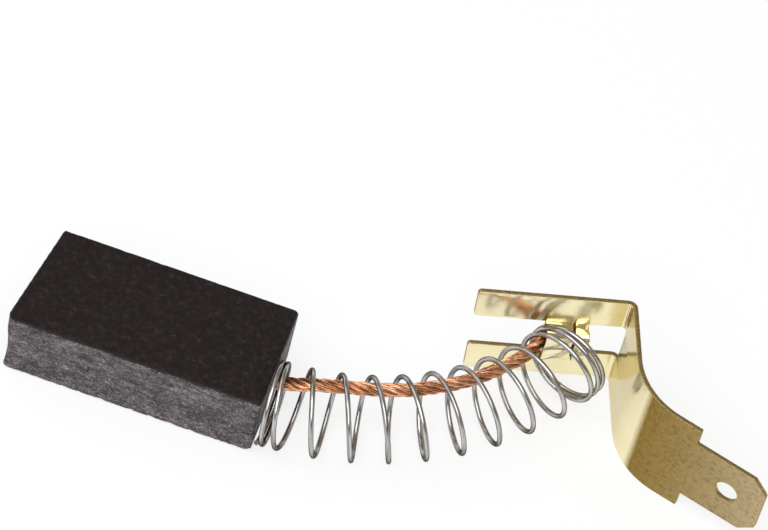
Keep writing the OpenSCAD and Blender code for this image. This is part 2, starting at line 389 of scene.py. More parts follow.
def pressed_carbon():
    finish, tree, shader = start_finish("pressed_carbon", {"Specular IOR Level": 0.18})
    narrow, worn = read_attribute(tree, "narrow"), read_attribute(tree, "worn")
    place = object_place(tree)
    cloud = grain(place, 0.9, 5, 0.65)
    mottle = grain(place, 0.27, 6, 0.8)
    fleck = grain(place, 0.14, 4, 0.7)
    streak = grain(object_place(tree, stretch=(2.4, 1, 1)), 0.2, 6, 0.75)
    flake = flakes(object_place(tree, stretch=(1.5, 1, 1)), 0.085)
    lines = grain(object_place(tree, stretch=(1, 1, 30)), 0.1, 3, 0.6)

    # The broad faces' colours are near-black painted shade. The narrow faces' streaks and
    # flakes are set much lighter as painted light, and the palest flakes are painted glints.
    broad_painted_shade = shade(cloud, (0.35, (0.0120, 0.0052, 0.0070)), (0.65, (0.0150, 0.0125, 0.0098)))
    mottled = shade(
        mottle, (0.36, (0.0060, 0.0030, 0.0034)), (0.52, (0.0145, 0.0086, 0.0086)),
        (0.62, (0.034, 0.025, 0.023)), (0.72, (0.085, 0.068, 0.062)),
    )
    streaked = shade(
        streak, (0.34, (0.024, 0.018, 0.021)), (0.5, (0.100, 0.085, 0.088)),
        (0.60, (0.33, 0.295, 0.295)),
    )
    flakes_painted_glints = shade(
        flake, (0.0, (0.022, 0.017, 0.020)), (0.6, (0.115, 0.10, 0.105)),
        (0.90, (0.26, 0.235, 0.24)), (1.0, (0.60, 0.56, 0.56)),
    )
    patchy = shade(cloud, (0.35, (0.62, 0.60, 0.60)), (0.65, 1.0))
    polished = shade(lines, (0.3, (0.030, 0.027, 0.028)), (0.7, (0.10, 0.094, 0.094)))

    broad_colour = mixed(MOTTLE_SHARE, broad_painted_shade, mottled)
    narrow_grain_painted_light = multiplied(mixed(FLAKE_SHARE, streaked, flakes_painted_glints), patchy)
    colour = mixed(worn, mixed(narrow, broad_colour, narrow_grain_painted_light), polished)
    baked = shade(fleck, (0.3, 0.62), (0.7, 0.46))
    paint(shader, colour, mixed(worn, baked, shade(lines, (0.3, 0.26), (0.7, 0.42))))
    pits = relief(shader, mixed(worn, fleck, lines), 0.03)
    relief(shader, flake, 0.012, pits)
    return finish


PRESSED_CARBON = pressed_carbon()
print(PRESSED_CARBON.name, len(PRESSED_CARBON.node_tree.nodes), "nodes")

# %% [markdown]
# ## The block
#
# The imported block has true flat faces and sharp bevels. A pressed block is softer than that:
# its edges crumble a little, and the lower ones, which the die rubs as it lets go, crumble
# more. The mesh could be sculpted by hand, but here it is done by rule. A copy of the packed
# mesh is merged and rounded, a voxel remesh gives it points everywhere, and points near an
# edge are pushed in where a noise runs high.
#
# An edge is where two faces are near, and a corner where three are. So the distances to the
# nearest faces are sorted: the second one tells how near an edge is, the third a corner.

# %% Where the carbon crumbles
FACE_RADIUS, FACE_HEIGHT, FACE_SKEW = 15, 2.2, math.radians(7.7)
# How far the wear reaches in from an edge, what an edge always loses, what it loses where the
# noise runs high, and what a corner loses as well.
LOWER_EDGES = (0.45, 0.04, 0.22, 0.24)
UPPER_EDGES = (0.36, 0.02, 0.13, 0.02)
CORNER_REACH = 0.5
LUMPS_PER_MM, CRUMBS_PER_MM, CRUMB_SHARE, CRUMBS_START = 1.7, 5.1, 0.5, 0.05


def worn_face(y, z):
    """Where the hollow, skewed working end lies along X."""
    def depth(height):
        return math.sqrt(FACE_RADIUS ** 2 - (height - FACE_HEIGHT) ** 2) / math.cos(FACE_SKEW)
    hollow = depth(z) - depth(BLOCK_THICKNESS)
    return -END_X + hollow + (y + BLOCK_HALF_WIDTH) * math.tan(FACE_SKEW)


def crumbled(point):
    """Where a point of the block goes: in from the edges, and more at the corners."""
    from_end = END_X - point.x if point.x > 0 else point.x - worn_face(point.y, point.z)
    gaps = sorted((
        BLOCK_HALF_WIDTH - abs(point.y), min(point.z, BLOCK_THICKNESS - point.z), from_end,
    ))
    wear = LOWER_EDGES if point.z < MID_Z else UPPER_EDGES
    reach, worn_off, chipped, corner_loss = wear
    near_edge = max(0, 1 - gaps[1] / reach) ** 2
    near_corner = max(0, 1 - gaps[2] / CORNER_REACH)
    lump = noise.noise(point * LUMPS_PER_MM)
    lump += CRUMB_SHARE * noise.noise(point * CRUMBS_PER_MM)
    loss = worn_off + chipped * max(0, lump - CRUMBS_START) + corner_loss * near_corner
    towards = Vector((0, -point.y, MID_Z - point.z)).normalized()
    towards += Vector((-1 if point.x > 0 else 1, 0, 0)) * near_corner
    return point + towards * (near_edge * loss)


print("working end at", round(worn_face(0, MID_Z), 2), "mm")

# %% Helpers for meshes
def evaluated_mesh(piece):
    graph = bpy.context.evaluated_depsgraph_get()
    return bpy.data.meshes.new_from_object(piece.evaluated_get(graph))


def apply_modifiers(piece):
    """Turns a piece with live modifiers into one with a plain mesh."""
    mesh = evaluated_mesh(piece)
    piece.modifiers.clear()
    piece.data = mesh


def mesh_from(work, name):
    """Ends the work on a bmesh and keeps the mesh."""
    mesh = bpy.data.meshes.new(name)
    work.to_mesh(mesh)
    work.free()
    return mesh


def shade_smooth(mesh, crease=None):
    """Smooth shading, with a break where faces turn by more than the crease, in degrees."""
    mesh.polygons.foreach_set("use_smooth", [True] * len(mesh.polygons))
    if crease is not None:
        mesh.set_sharp_from_angle(angle=math.radians(crease))


def clamped(value):
    return min(1, max(0, value))


print("mesh helpers ready")

# %% Make the block
EDGE_ROUNDING, ROUNDING_STEPS, ROUNDED_FROM = 0.1, 3, math.radians(35)
VOXEL_SIZE = 0.11
MERGE_WITHIN, FLAT_WITHIN = 1e-6, math.radians(0.5)
# A normal tells which look belongs where. The narrow look comes in as its upright share falls
# below the first number, and is whole once that has fallen by the second. The worn look is
# for normals that point well along -X and not much sideways.
# The narrow look is the lighter, painted-light one, and the broad look is the near-black
# painted shade.
NARROW_FROM, NARROW_OVER = 0.75, 0.3
WORN_ALONG, WORN_SIDEWAYS = -0.8, 0.5


def merged_copy(node):
    work = bmesh.new()
    work.from_mesh(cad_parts[node].data)
    bmesh.ops.remove_doubles(work, verts=work.verts, dist=MERGE_WITHIN)
    bmesh.ops.dissolve_limit(
        work, angle_limit=FLAT_WITHIN, verts=work.verts, edges=work.edges
    )
    return mesh_from(work, node)


def make_block():
    piece = add_object("carbon_body", merged_copy("carbon_block"))
    rounding = piece.modifiers.new("rounding", "BEVEL")
    rounding.width = EDGE_ROUNDING * MM
    rounding.segments = ROUNDING_STEPS
    rounding.limit_method = "ANGLE"
    rounding.angle_limit = ROUNDED_FROM
    apply_modifiers(piece)
    voxels = piece.modifiers.new("voxels", "REMESH")
    voxels.mode = "VOXEL"
    voxels.voxel_size = VOXEL_SIZE * MM
    apply_modifiers(piece)
    mesh = piece.data
    for vertex in mesh.vertices:
        vertex.co = crumbled(vertex.co / MM) * MM
    narrow = mesh.attributes.new("narrow", "FLOAT", "POINT")
    worn = mesh.attributes.new("worn", "FLOAT", "POINT")
    for i, normal in enumerate(mesh.vertex_normals):
        side = normal.vector
        ground = side.x < WORN_ALONG and abs(side.y) < WORN_SIDEWAYS
        worn.data[i].value = 1.0 if ground else 0.0
        narrow.data[i].value = clamped((NARROW_FROM - abs(side.z)) / NARROW_OVER)
    shade_smooth(mesh)
    mesh.materials.clear()
    mesh.materials.append(PRESSED_CARBON)
    return piece


block = make_block()
print("block:", len(block.data.polygons), "faces")

# %% [markdown]
# ## The rammed powder
#
# The shunt is held by copper powder, rammed into the hole around it. Only its rough, dull
# mouth can be seen, past the spring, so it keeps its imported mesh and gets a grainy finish.

# %% Finish of the powder
def rammed_powder():
    finish, tree, shader = start_finish("rammed_powder", {"Metallic": 0.85})
    lumps = grain(object_place(tree), 0.12, 4, 0.7)
    colour = shade(
        lumps, (0.3, (0.10, 0.045, 0.03)), (0.55, (0.36, 0.17, 0.10)),
        (0.75, (0.62, 0.33, 0.20)),
    )
    paint(shader, colour, shade(lumps, (0.3, 0.75), (0.7, 0.5)))
    relief(shader, lumps, 0.08)
    return finish


powder_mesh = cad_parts["tamping_plug"].data
powder_mesh.materials.clear()
powder_mesh.materials.append(rammed_powder())
print("powder finished")

# %% [markdown]
# ## Winding by nodes
#
# The spring and the shunt are the same idea twice: wire wound round a path. The Screw
# modifier winds too, but only round a straight axis, so one node group, wind_round, does it
# here. It repeats the path once for each wire, and moves each point sideways and up by the
# cosine and sine of its angle. The path carries three attributes: turn, the number of turns
# up to each point, and wide and high, the half width and half height of the winding there.
# Once around makes a spring. Twice, one inside the other, makes a rope.
#
# Real wires don't lie perfectly even, so a noise also shoves each point a little. The wire's
# number times a fixed step picks its place in the noise, which is the group's seed.

# %% The node group that winds
WANDERS_PER_METRE, SEED_STEP = 900, 7.31


def new_tree(name, inputs, outputs):
    """A tree of geometry nodes, with the sockets where it starts and where it ends."""
    tree = bpy.data.node_groups.new(name, "GeometryNodeTree")
    for in_out, sockets in (("INPUT", inputs), ("OUTPUT", outputs)):
        for label, kind in sockets.items():
            tree.interface.new_socket(label, in_out=in_out, socket_type="NodeSocket" + kind)
    start = tree.nodes.new("NodeGroupInput").outputs
    end = tree.nodes.new("NodeGroupOutput").inputs
    return tree, start, end


def make_wind_round():
    tree, start, end = new_tree("wind_round", {
        "Path": "Geometry", "Wires": "Int", "Turn": "Float", "Wide": "Float",
        "High": "Float", "Unevenness": "Float",
    }, {"Wires": "Geometry", "Number": "Int"})
    copies = add_node(tree, "GeometryNodeDuplicateElements", {
        "Geometry": start["Path"], "Amount": start["Wires"],
    }, domain="SPLINE").outputs
    number = copies["Duplicate Index"]
    share = math_node(tree, "DIVIDE", number, start["Wires"])
    turn = math_node(tree, "ADD", start["Turn"], share)
    angle = math_node(tree, "MULTIPLY", turn, 2 * math.pi)
    along = add_node(tree, "GeometryNodeInputTangent").outputs["Tangent"]
    level = vector_node(tree, "CROSS_PRODUCT", (0.0, 0.0, 1.0), along)
    sideways = vector_node(tree, "NORMALIZE", level)
    upwards = vector_node(tree, "CROSS_PRODUCT", along, sideways)
    wide = math_node(tree, "MULTIPLY", math_node(tree, "COSINE", angle), start["Wide"])
    high = math_node(tree, "MULTIPLY", math_node(tree, "SINE", angle), start["High"])
    offset = vector_node(
        tree, "ADD", vector_node(tree, "SCALE", sideways, Scale=wide),
        vector_node(tree, "SCALE", upwards, Scale=high),
    )
    wander = add_node(tree, "ShaderNodeTexNoise", {
        "Vector": add_node(tree, "GeometryNodeInputPosition").outputs["Position"],
        "W": math_node(tree, "MULTIPLY", number, SEED_STEP),
        "Scale": WANDERS_PER_METRE, "Detail": 1,
    }, noise_dimensions="4D").outputs["Color"]
    shove = vector_node(tree, "SUBTRACT", wander, (0.5, 0.5, 0.5))
    uneven = vector_node(tree, "SCALE", shove, Scale=start["Unevenness"])
    moved = add_node(tree, "GeometryNodeSetPosition", {
        "Geometry": copies["Geometry"], "Offset": vector_node(tree, "ADD", offset, uneven),
    })
    tree.links.new(moved.outputs["Geometry"], end["Wires"])
    tree.links.new(number, end["Number"])
    return tree


WIND_ROUND = make_wind_round()
print(WIND_ROUND.name, len(WIND_ROUND.nodes), "nodes")

# %% [markdown]
# ## From a wound line to round wire
#
# A second group gives a line its round section. It stores three attributes on the mesh for
# the finish: along, the distance along the wire, around, the place around its section, and
# number, which of the wires it is. It ends in Realize Instances and Set Material.

# %% The node group that thickens
def stored(geometry, name, value):
    return add_node(geometry.id_data, "GeometryNodeStoreNamedAttribute", {
        "Geometry": geometry, "Name": name, "Value": value,
    }, data_type="FLOAT", domain="POINT").outputs["Geometry"]


def make_draw_wire():
    tree, start, end = new_tree("draw_wire", {
        "Line": "Geometry", "Wire radius": "Float", "Sides": "Int", "Number": "Float",
        "Finish": "Material",
    }, {"Wire": "Geometry"})
    spline = add_node(tree, "GeometryNodeSplineParameter").outputs
    line = stored(start["Line"], "along", spline["Length"])
    line = stored(line, "number", start["Number"])
    circle = add_node(tree, "GeometryNodeCurvePrimitiveCircle", {
        "Resolution": start["Sides"], "Radius": start["Wire radius"],
    })
    skin = add_node(tree, "GeometryNodeCurveToMesh", {
        "Curve": line, "Fill Caps": True,
        "Profile Curve": stored(circle.outputs["Curve"], "around", spline["Factor"]),
    })
    real = add_node(tree, "GeometryNodeRealizeInstances", {"Geometry": skin.outputs["Mesh"]})
    finished = add_node(tree, "GeometryNodeSetMaterial", {
        "Geometry": real.outputs["Geometry"], "Material": start["Finish"],
    })
    tree.links.new(finished.outputs["Geometry"], end["Wire"])
    return tree


DRAW_WIRE = make_draw_wire()
print(DRAW_WIRE.name, len(DRAW_WIRE.nodes), "nodes")

# %% [markdown]
# ## Running a tree on a path
#
# A path is a plain mesh of points and edges, because a mesh can carry any number of named
# attributes. The tree that runs on it gets its sizes through the modifier, by each socket's
# identifier, and what comes out is kept as a plain mesh.

# %% Helpers for running a tree
WIRE_CREASE = 75


def path_mesh(name, points, **attributes):
    """A line of points, in metres, with a number of each attribute at every point."""
    mesh = bpy.data.meshes.new(name)
    mesh.from_pydata(points, [(i, i + 1) for i in range(len(points) - 1)], [])
    for attribute, values in attributes.items():
        layer = mesh.attributes.new(attribute, "FLOAT", "POINT")
        layer.data.foreach_set("value", values)
    return mesh


def named(tree, attribute):
    return add_node(
        tree, "GeometryNodeInputNamedAttribute", {"Name": attribute}, data_type="FLOAT"
    ).outputs["Attribute"]


def group_node(tree, group, inputs):
    return add_node(tree, "GeometryNodeGroup", inputs, node_tree=group).outputs


def run_tree(name, mesh, tree, inputs):
    """Runs a tree on a path, and leaves the piece as a plain mesh."""
    piece = add_object(name, mesh)
    modifier = piece.modifiers.new("winding", "NODES")
    modifier.node_group = tree
    for item in tree.interface.items_tree:
        if item.in_out == "INPUT" and item.name in inputs:
            modifier[item.identifier] = inputs[item.name]
    apply_modifiers(piece)
    shade_smooth(piece.data, WIRE_CREASE)
    return piece


print("runner ready")

# %% [markdown]
# ## Spring wire
#
# Spring wire is bright, hard-drawn steel. The drawing die leaves fine lines along it, and
# coiling leaves duller rubbed patches. Metal has no colour of its own to speak of: it shows
# what stands around it, so the finish is mostly a matter of roughness. Specular Tint is what
# a metal mirrors at a grazing angle, and a dark one gives the wire its dark flanks. The wire
# is sheared off at its two ends, which leaves a dull torn face, and cut_end marks it.

# %% Finish of the spring wire
LINE_LENGTH, LINES_AROUND = 2.5, 9


def drawn_steel():
    finish, tree, shader = start_finish("drawn_steel", {
        "Metallic": 1.0, "Specular Tint": (0.14, 0.13, 0.12, 1),
    })
    cut_end = read_attribute(tree, "cut_end")
    along_wire = attribute_place(
        tree, ("along", "around", "number"), (1 / (LINE_LENGTH * MM), LINES_AROUND, 1)
    )
    lines = grain(along_wire, 0.5, 3, 0.6)
    patches = grain(object_place(tree), 1.1, 3, 0.55)
    drawn = shade(lines, (0.34, (0.25, 0.235, 0.225)), (0.64, (0.66, 0.645, 0.625)))
    sheared = shade(patches, (0.3, (0.10, 0.095, 0.09)), (0.7, (0.24, 0.23, 0.22)))
    bright = shade(patches, (0.35, 0.14), (0.7, 0.27))
    torn = shade(patches, (0.3, 0.55), (0.7, 0.7))
    paint(shader, mixed(cut_end, drawn, sheared), mixed(cut_end, bright, torn))
    relief(shader, lines, 0.004)
    return finish


DRAWN_STEEL = drawn_steel()
print(DRAWN_STEEL.name, "ready")

# %% [markdown]
# ## The spring
#
# The path is the bowed axis, with the same number of points for every turn. Points at equal
# turns and not at equal distances are what make the end turns close up by themselves. The
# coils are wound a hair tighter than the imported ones, so that they stay inside them.

# %% Wind the spring
POINTS_PER_TURN, SPRING_SIDES = 50, 16
COIL_CLEARANCE = 0.025


def make_spring():
    steps = int(TURNS * POINTS_PER_TURN)
    turns = [TURNS * i / steps for i in range(steps + 1)]
    radius = ((COIL_DIA - WIRE_DIA) / 2 - COIL_CLEARANCE) * MM
    axis = path_mesh(
        "spring_axis",
        [axis_point(travel(t)) * MM for t in turns],
        turn=[FIRST_TURN + t for t in turns],
        wide=[radius] * len(turns),
        high=[radius] * len(turns),
    )
    tree, start, end = new_tree("spring", {
        "Axis": "Geometry", "Wire radius": "Float", "Sides": "Int", "Finish": "Material",
    }, {"Spring": "Geometry"})
    path = add_node(tree, "GeometryNodeMeshToCurve", {"Mesh": start["Axis"]}).outputs["Curve"]
    wound = group_node(tree, WIND_ROUND, {
        "Path": path, "Wires": 1, "Turn": named(tree, "turn"), "Wide": named(tree, "wide"),
        "High": named(tree, "high"), "Unevenness": 0.0,
    })
    drawn = group_node(tree, DRAW_WIRE, {
        "Line": wound["Wires"], "Wire radius": start["Wire radius"],
        "Sides": start["Sides"], "Number": 0.0, "Finish": start["Finish"],
    })
    tree.links.new(drawn["Wire"], end["Spring"])
    return run_tree("spring_coils", axis, tree, {
        "Wire radius": WIRE_DIA / 2 * MM, "Sides": SPRING_SIDES, "Finish": DRAWN_STEEL,
    })


def mark_cut_ends(piece):
    """The caps are the only faces with more than four corners."""
    layer = piece.data.attributes.new("cut_end", "FLOAT", "FACE")
    for face in piece.data.polygons:
        layer.data[face.index].value = 1.0 if len(face.vertices) > 4 else 0.0


spring = make_spring()
mark_cut_ends(spring)
print("spring:", len(spring.data.polygons), "faces")

# %% [markdown]
# ## Copper strand
#
# The shunt is a rope of hair-fine bare copper. Each wire has its own shade, from salmon to
# brown, since each was drawn and handled apart. A pattern on one thick cable would look flat
# where the wires part, so every wire is a real one, and its number picks its shade.

# %% Finish of the copper
def bare_copper():
    finish, tree, shader = start_finish("bare_copper", {"Metallic": 1.0})
    chance = add_node(tree, "ShaderNodeTexWhiteNoise", {
        "W": read_attribute(tree, "number"),
    }, noise_dimensions="1D").outputs["Value"]
    patches = grain(object_place(tree), 0.7, 3, 0.6)
    wire_colour = shade(
        chance, (0.0, (0.50, 0.19, 0.09)), (0.5, (0.94, 0.49, 0.27)), (1.0, (1.0, 0.74, 0.50))
    )
    stain = shade(patches, (0.35, (0.52, 0.41, 0.36)), (0.56, 1.0))
    paint(shader, multiplied(wire_colour, stain), shade(patches, (0.3, 0.38), (0.7, 0.22)))
    return finish


BARE_COPPER = bare_copper()
print(BARE_COPPER.name, "ready")

# %% [markdown]
# ## The shunt
#
# The shunt leaves the plug straight, lies along the inside of the bow, and is squeezed to an
# upright oval in the crimp. Its route is a short list of stations, joined by a smooth curve.
# A station in the bow is a distance along the axis, how far inside the axis it lies, and its
# height.

# %% Route of the shunt
SHUNT_STATIONS = [
    (1.5, 2.42, 3.4), (3.5, 2.4, 4.1), (6, 2.35, 4.5), (9, 2.25, 4.65), (12, 2.15, 4.75),
    (15, 2.15, 4.75), (18, 2.2, 4.75), (21, 2.3, 4.75), (23.5, 2.35, 4.75),
]
SHUNT_START = [-SHUNT_DEPTH - 1.5, -SHUNT_DEPTH, -1.2, 0.3]
SHUNT_END = [CRIMP_FROM - 0.05, CRIMP_FROM + 1, CRIMP_TO - 0.3, CRIMP_TO + 0.05, CRIMP_TO + 1.5]
STEPS_PER_SPAN = 12


def smooth_curve(points, steps):
    """Catmull-Rom curve through the points; the first and last only give directions."""
    curve = []
    for p0, p1, p2, p3 in zip(points, points[1:], points[2:], points[3:]):
        for k in range(steps):
            u = k / steps
            curve.append(0.5 * (
                2 * p1 + (p2 - p0) * u + (2 * p0 - 5 * p1 + 4 * p2 - p3) * u * u
                + (3 * p1 - p0 - 3 * p2 + p3) * u ** 3
            ))
    return curve + [points[-2]]


route = [Vector((END_X + x, 0, MID_Z)) for x in SHUNT_START]
route += [beside(*station) for station in SHUNT_STATIONS]
route += [fork_point(x, CRIMP_Y, STRIP_WIDTH / 2) for x in SHUNT_END]
shunt_line = smooth_curve(route, STEPS_PER_SPAN)
travelled = [0.0]
for here, there in zip(shunt_line, shunt_line[1:]):
    travelled.append(travelled[-1] + (there - here).length)
print("shunt:", round(travelled[-1], 2), "mm from plug to cut end")

# %% [markdown]
# ## Laying the rope
#
# The rope is six bunches laid round a core, and each bunch is six wires, so wind_round runs
# twice, and the two lays turn opposite ways as a ropemaker's do. The half width and height
# along the path do the squeezing: the wires first fan out and rise, then the crimp pinches
# them. The bunches are numbered between the two windings, so that each wire gets a number.

# %% Path of the rope
ROPE_LAY, BUNCH_LAY = 5.6, -7.5
BUNCHES, WIRES_PER_BUNCH = 6, 6
FINE_WIRE_DIA, FINE_WIRE_SIDES, UNEVENNESS = 0.13, 6, 0.10
FAN_LENGTH, FAN_HALF_HEIGHT, FAN_RISE, FAN_POWER = 3.2, 1.25, 0.42, 1.5
BUNCH_RADIUS = SHUNT_DIA / 2 / 3


def shunt_path():
    radius = SHUNT_DIA / 2
    mouth_at = travelled[len(shunt_line) - 1 - (len(SHUNT_END) - 2) * STEPS_PER_SPAN]
    wide, high, points = [], [], []
    for s, point in zip(travelled, shunt_line):
        fan = clamped((s - mouth_at + FAN_LENGTH) / FAN_LENGTH) ** FAN_POWER
        pinch = clamped(s - mouth_at)
        tall = radius + (FAN_HALF_HEIGHT - radius) * fan
        tall += (CRIMP_HALF_Z - tall) * pinch
        points.append((point + Vector((0, 0, FAN_RISE * fan * (1 - pinch)))) * MM)
        wide.append((radius + (CRIMP_HALF_Y - radius) * fan - BUNCH_RADIUS) * MM)
        high.append((tall - BUNCH_RADIUS) * MM)
    return path_mesh(
        "shunt_path", points,
        turn=[s / ROPE_LAY for s in travelled], wide=wide, high=high,
        bunch_turn=[s / BUNCH_LAY for s in travelled],
    )


print("rope of", BUNCHES, "bunches and a core, of", WIRES_PER_BUNCH, "wires each")

# %% Lay the shunt
def make_shunt():
    tree, start, end = new_tree("shunt", {
        "Path": "Geometry", "Bunches": "Int", "Wires": "Int", "Bunch radius": "Float",
        "Wire radius": "Float", "Unevenness": "Float", "Finish": "Material",
    }, {"Shunt": "Geometry"})
    path = add_node(tree, "GeometryNodeMeshToCurve", {"Mesh": start["Path"]}).outputs["Curve"]
    laid = group_node(tree, WIND_ROUND, {
        "Path": path, "Wires": start["Bunches"], "Turn": named(tree, "turn"),
        "Wide": named(tree, "wide"), "High": named(tree, "high"),
        "Unevenness": start["Unevenness"],
    })
    with_core = add_node(tree, "GeometryNodeJoinGeometry")
    tree.links.new(laid["Wires"], with_core.inputs["Geometry"])
    tree.links.new(path, with_core.inputs["Geometry"])
    where = add_node(tree, "GeometryNodeInputIndex").outputs["Index"]
    bunch = math_node(tree, "FLOOR", math_node(tree, "DIVIDE", where, len(shunt_line)))
    twisted = group_node(tree, WIND_ROUND, {
        "Path": stored(with_core.outputs["Geometry"], "bunch", bunch),
        "Wires": start["Wires"], "Turn": named(tree, "bunch_turn"),
        "Wide": start["Bunch radius"], "High": start["Bunch radius"],
        "Unevenness": start["Unevenness"],
    })
    first_wire = math_node(tree, "MULTIPLY", named(tree, "bunch"), WIRES_PER_BUNCH)
    drawn = group_node(tree, DRAW_WIRE, {
        "Line": twisted["Wires"], "Wire radius": start["Wire radius"],
        "Sides": FINE_WIRE_SIDES, "Finish": start["Finish"],
        "Number": math_node(tree, "ADD", twisted["Number"], first_wire),
    })
    tree.links.new(drawn["Wire"], end["Shunt"])
    return run_tree("shunt_strands", shunt_path(), tree, {
        "Bunches": BUNCHES, "Wires": WIRES_PER_BUNCH,
        "Bunch radius": (BUNCH_RADIUS - FINE_WIRE_DIA / 2) * MM,
        "Wire radius": FINE_WIRE_DIA / 2 * MM, "Unevenness": UNEVENNESS * MM,
        "Finish": BARE_COPPER,
    })


shunt = make_shunt()
print("shunt:", len(shunt.data.polygons), "faces")

# %% [markdown]
# ## Rolled brass
#
# The terminal is half-hard brass strip. The rolled faces are smooth and satin, with faint
# lines along the strip. The cut edges are darker and show upright shear lines. The tab is
# rougher and finely speckled, and its colour is painted darker and browner, a painted shade
# for the darker surroundings that it mirrors, which lifts towards its end. The mesh carries
# three attributes: along and across, millimetres on the flat strip, and cut_edge. A pale
# Specular Tint keeps the web pale, since it is seen almost edge on.

# %% Finish of the brass
# Where along the strip the tab's roughness and painted shade begin, where they are whole, and
# where the tab ends.
DULL_SHADED_FROM, DULL_SHADED_AT, TAB_END = 20.4, 21.1, 32.1
ROLLING_STRETCH = 40


def share_between(value, low, high):
    """Nought up to low, one from high on, and even between them."""
    return add_node(value.id_data, "ShaderNodeMapRange", {
        "Value": value, "From Min": low, "From Max": high,
    }).outputs["Result"]


def rolled_brass():
    finish, tree, shader = start_finish("rolled_brass", {
        "Metallic": 1.0, "Specular Tint": (0.74, 0.71, 0.64, 1),
    })
    place = object_place(tree)
    along, cut_edge = read_attribute(tree, "along"), read_attribute(tree, "cut_edge")
    # This share brings in both the tab's real roughness and its painted shade.
    dull_and_shaded = share_between(along, DULL_SHADED_FROM, DULL_SHADED_AT)
    painted_shade_along_tab = share_between(along, DULL_SHADED_AT, TAB_END)
    on_strip = attribute_place(tree, ("along", "across"), (1 / ROLLING_STRETCH, 1, 1))
    rolling = grain(on_strip, 0.05, 3, 0.6)
    speck = grain(place, 0.16, 4, 0.7)
    cloud = grain(place, 2.2, 3, 0.5)
    shear = grain(object_place(tree, stretch=(1, 1, 8)), 0.08, 3, 0.6)

    clean = shade(cloud, (0.3, (0.95, 0.845, 0.51)), (0.7, (1.0, 0.915, 0.63)))
    rolled = shade(rolling, (0.34, (0.945, 0.935, 0.90)), (0.6, 1.0))
    # The tab's painted shade: a darker, browner colour that stands for the darker surroundings
    # it mirrors, lighter towards its end.
    painted_tab_shade = shade(
        painted_shade_along_tab, (0.0, (0.31, 0.195, 0.046)), (0.35, (0.37, 0.265, 0.10)),
        (1.0, (0.54, 0.425, 0.245)),
    )
    speckle = shade(speck, (0.32, (0.66, 0.63, 0.56)), (0.52, (0.96, 0.96, 0.95)), (0.7, 1.0))
    sheared = shade(shear, (0.3, (0.26, 0.17, 0.045)), (0.7, (0.60, 0.46, 0.19)))
    face_colour = mixed(dull_and_shaded, multiplied(clean, rolled), multiplied(painted_tab_shade, speckle))
    satin = mixed(
        dull_and_shaded, shade(rolling, (0.3, 0.13), (0.7, 0.22)), shade(speck, (0.3, 0.45), (0.7, 0.34))
    )
    torn = shade(shear, (0.3, 0.5), (0.7, 0.35))
    paint(shader, mixed(cut_edge, face_colour, sheared), mixed(cut_edge, satin, torn))
    waves = relief(shader, cloud, 0.05)
    relief(shader, mixed(dull_and_shaded, rolling, speck), 0.003, waves)
    return finish


ROLLED_BRASS = rolled_brass()
print(ROLLED_BRASS.name, "ready")

# %% [markdown]
# ## Stamp the blank
#
# A press cuts the blank flat and then bends it, and the mesh is made in the same order. The
# outline is a list of corners with a radius each, in millimetres along and across the strip.
# A filled 2D curve turns it into a plate with softly rounded rims, holes and all, where a
# Boolean would leave sharp rims and untidy faces.

# %% Helpers for outlines
ARC_STEPS, CIRCLE_STEPS = 5, 48


def rounded(corners):
    """Replaces each (x, y, radius) corner by a small arc."""
    points = []
    for i, (x, y, radius) in enumerate(corners):
        corner = Vector((x, y))
        to_last = (Vector(corners[i - 1][:2]) - corner).normalized()
        to_next = (Vector(corners[(i + 1) % len(corners)][:2]) - corner).normalized()
        half = to_last.angle(to_next) / 2
        centre = corner + (to_last + to_next).normalized() * radius / math.sin(half)
        start = corner + to_last * radius / math.tan(half) - centre
        end = corner + to_next * radius / math.tan(half) - centre
        turn = start.angle_signed(end)
        for k in range(ARC_STEPS + 1):
            spin = Matrix.Rotation(-turn * k / ARC_STEPS, 2)
            points.append(centre + spin @ start)
    return points


def circle(x, y, radius):
    return [
        Vector((x + radius * math.cos(a), y + radius * math.sin(a)))
        for a in (2 * math.pi * k / CIRCLE_STEPS for k in range(CIRCLE_STEPS))
    ]


print("outline helpers ready")

# %% Helpers for plates
CUT_SLOPE, PLATE_MERGE = 0.6, 1e-4


def plate(outline, holes, thickness, rim):
    """A flat plate, in millimetres, centred on its own plane."""
    curve = bpy.data.curves.new("outline", "CURVE")
    curve.dimensions = "2D"
    curve.fill_mode = "BOTH"
    curve.extrude = thickness / 2 - rim
    curve.bevel_depth = rim
    curve.bevel_resolution = 1
    curve.offset = -rim
    for loop in [outline, *holes]:
        spline = curve.splines.new("POLY")
        spline.points.add(len(loop) - 1)
        for point, corner in zip(spline.points, loop):
            point.co = (corner.x, corner.y, 0, 1)
        spline.use_cyclic_u = True
    holder = add_object("outline", curve)
    work = bmesh.new()
    work.from_mesh(evaluated_mesh(holder))
    bmesh.ops.remove_doubles(work, verts=work.verts, dist=PLATE_MERGE)
    bmesh.ops.recalc_face_normals(work, faces=work.faces)
    bpy.data.objects.remove(holder)
    return work


def mark_rim(work):
    """Marks the faces that the press has cut, before anything is bent."""
    layer = work.faces.layers.float.new("cut_edge")
    work.normal_update()
    for face in work.faces:
        face[layer] = 1.0 if abs(face.normal.z) < CUT_SLOPE else 0.0


print("plate helpers ready")

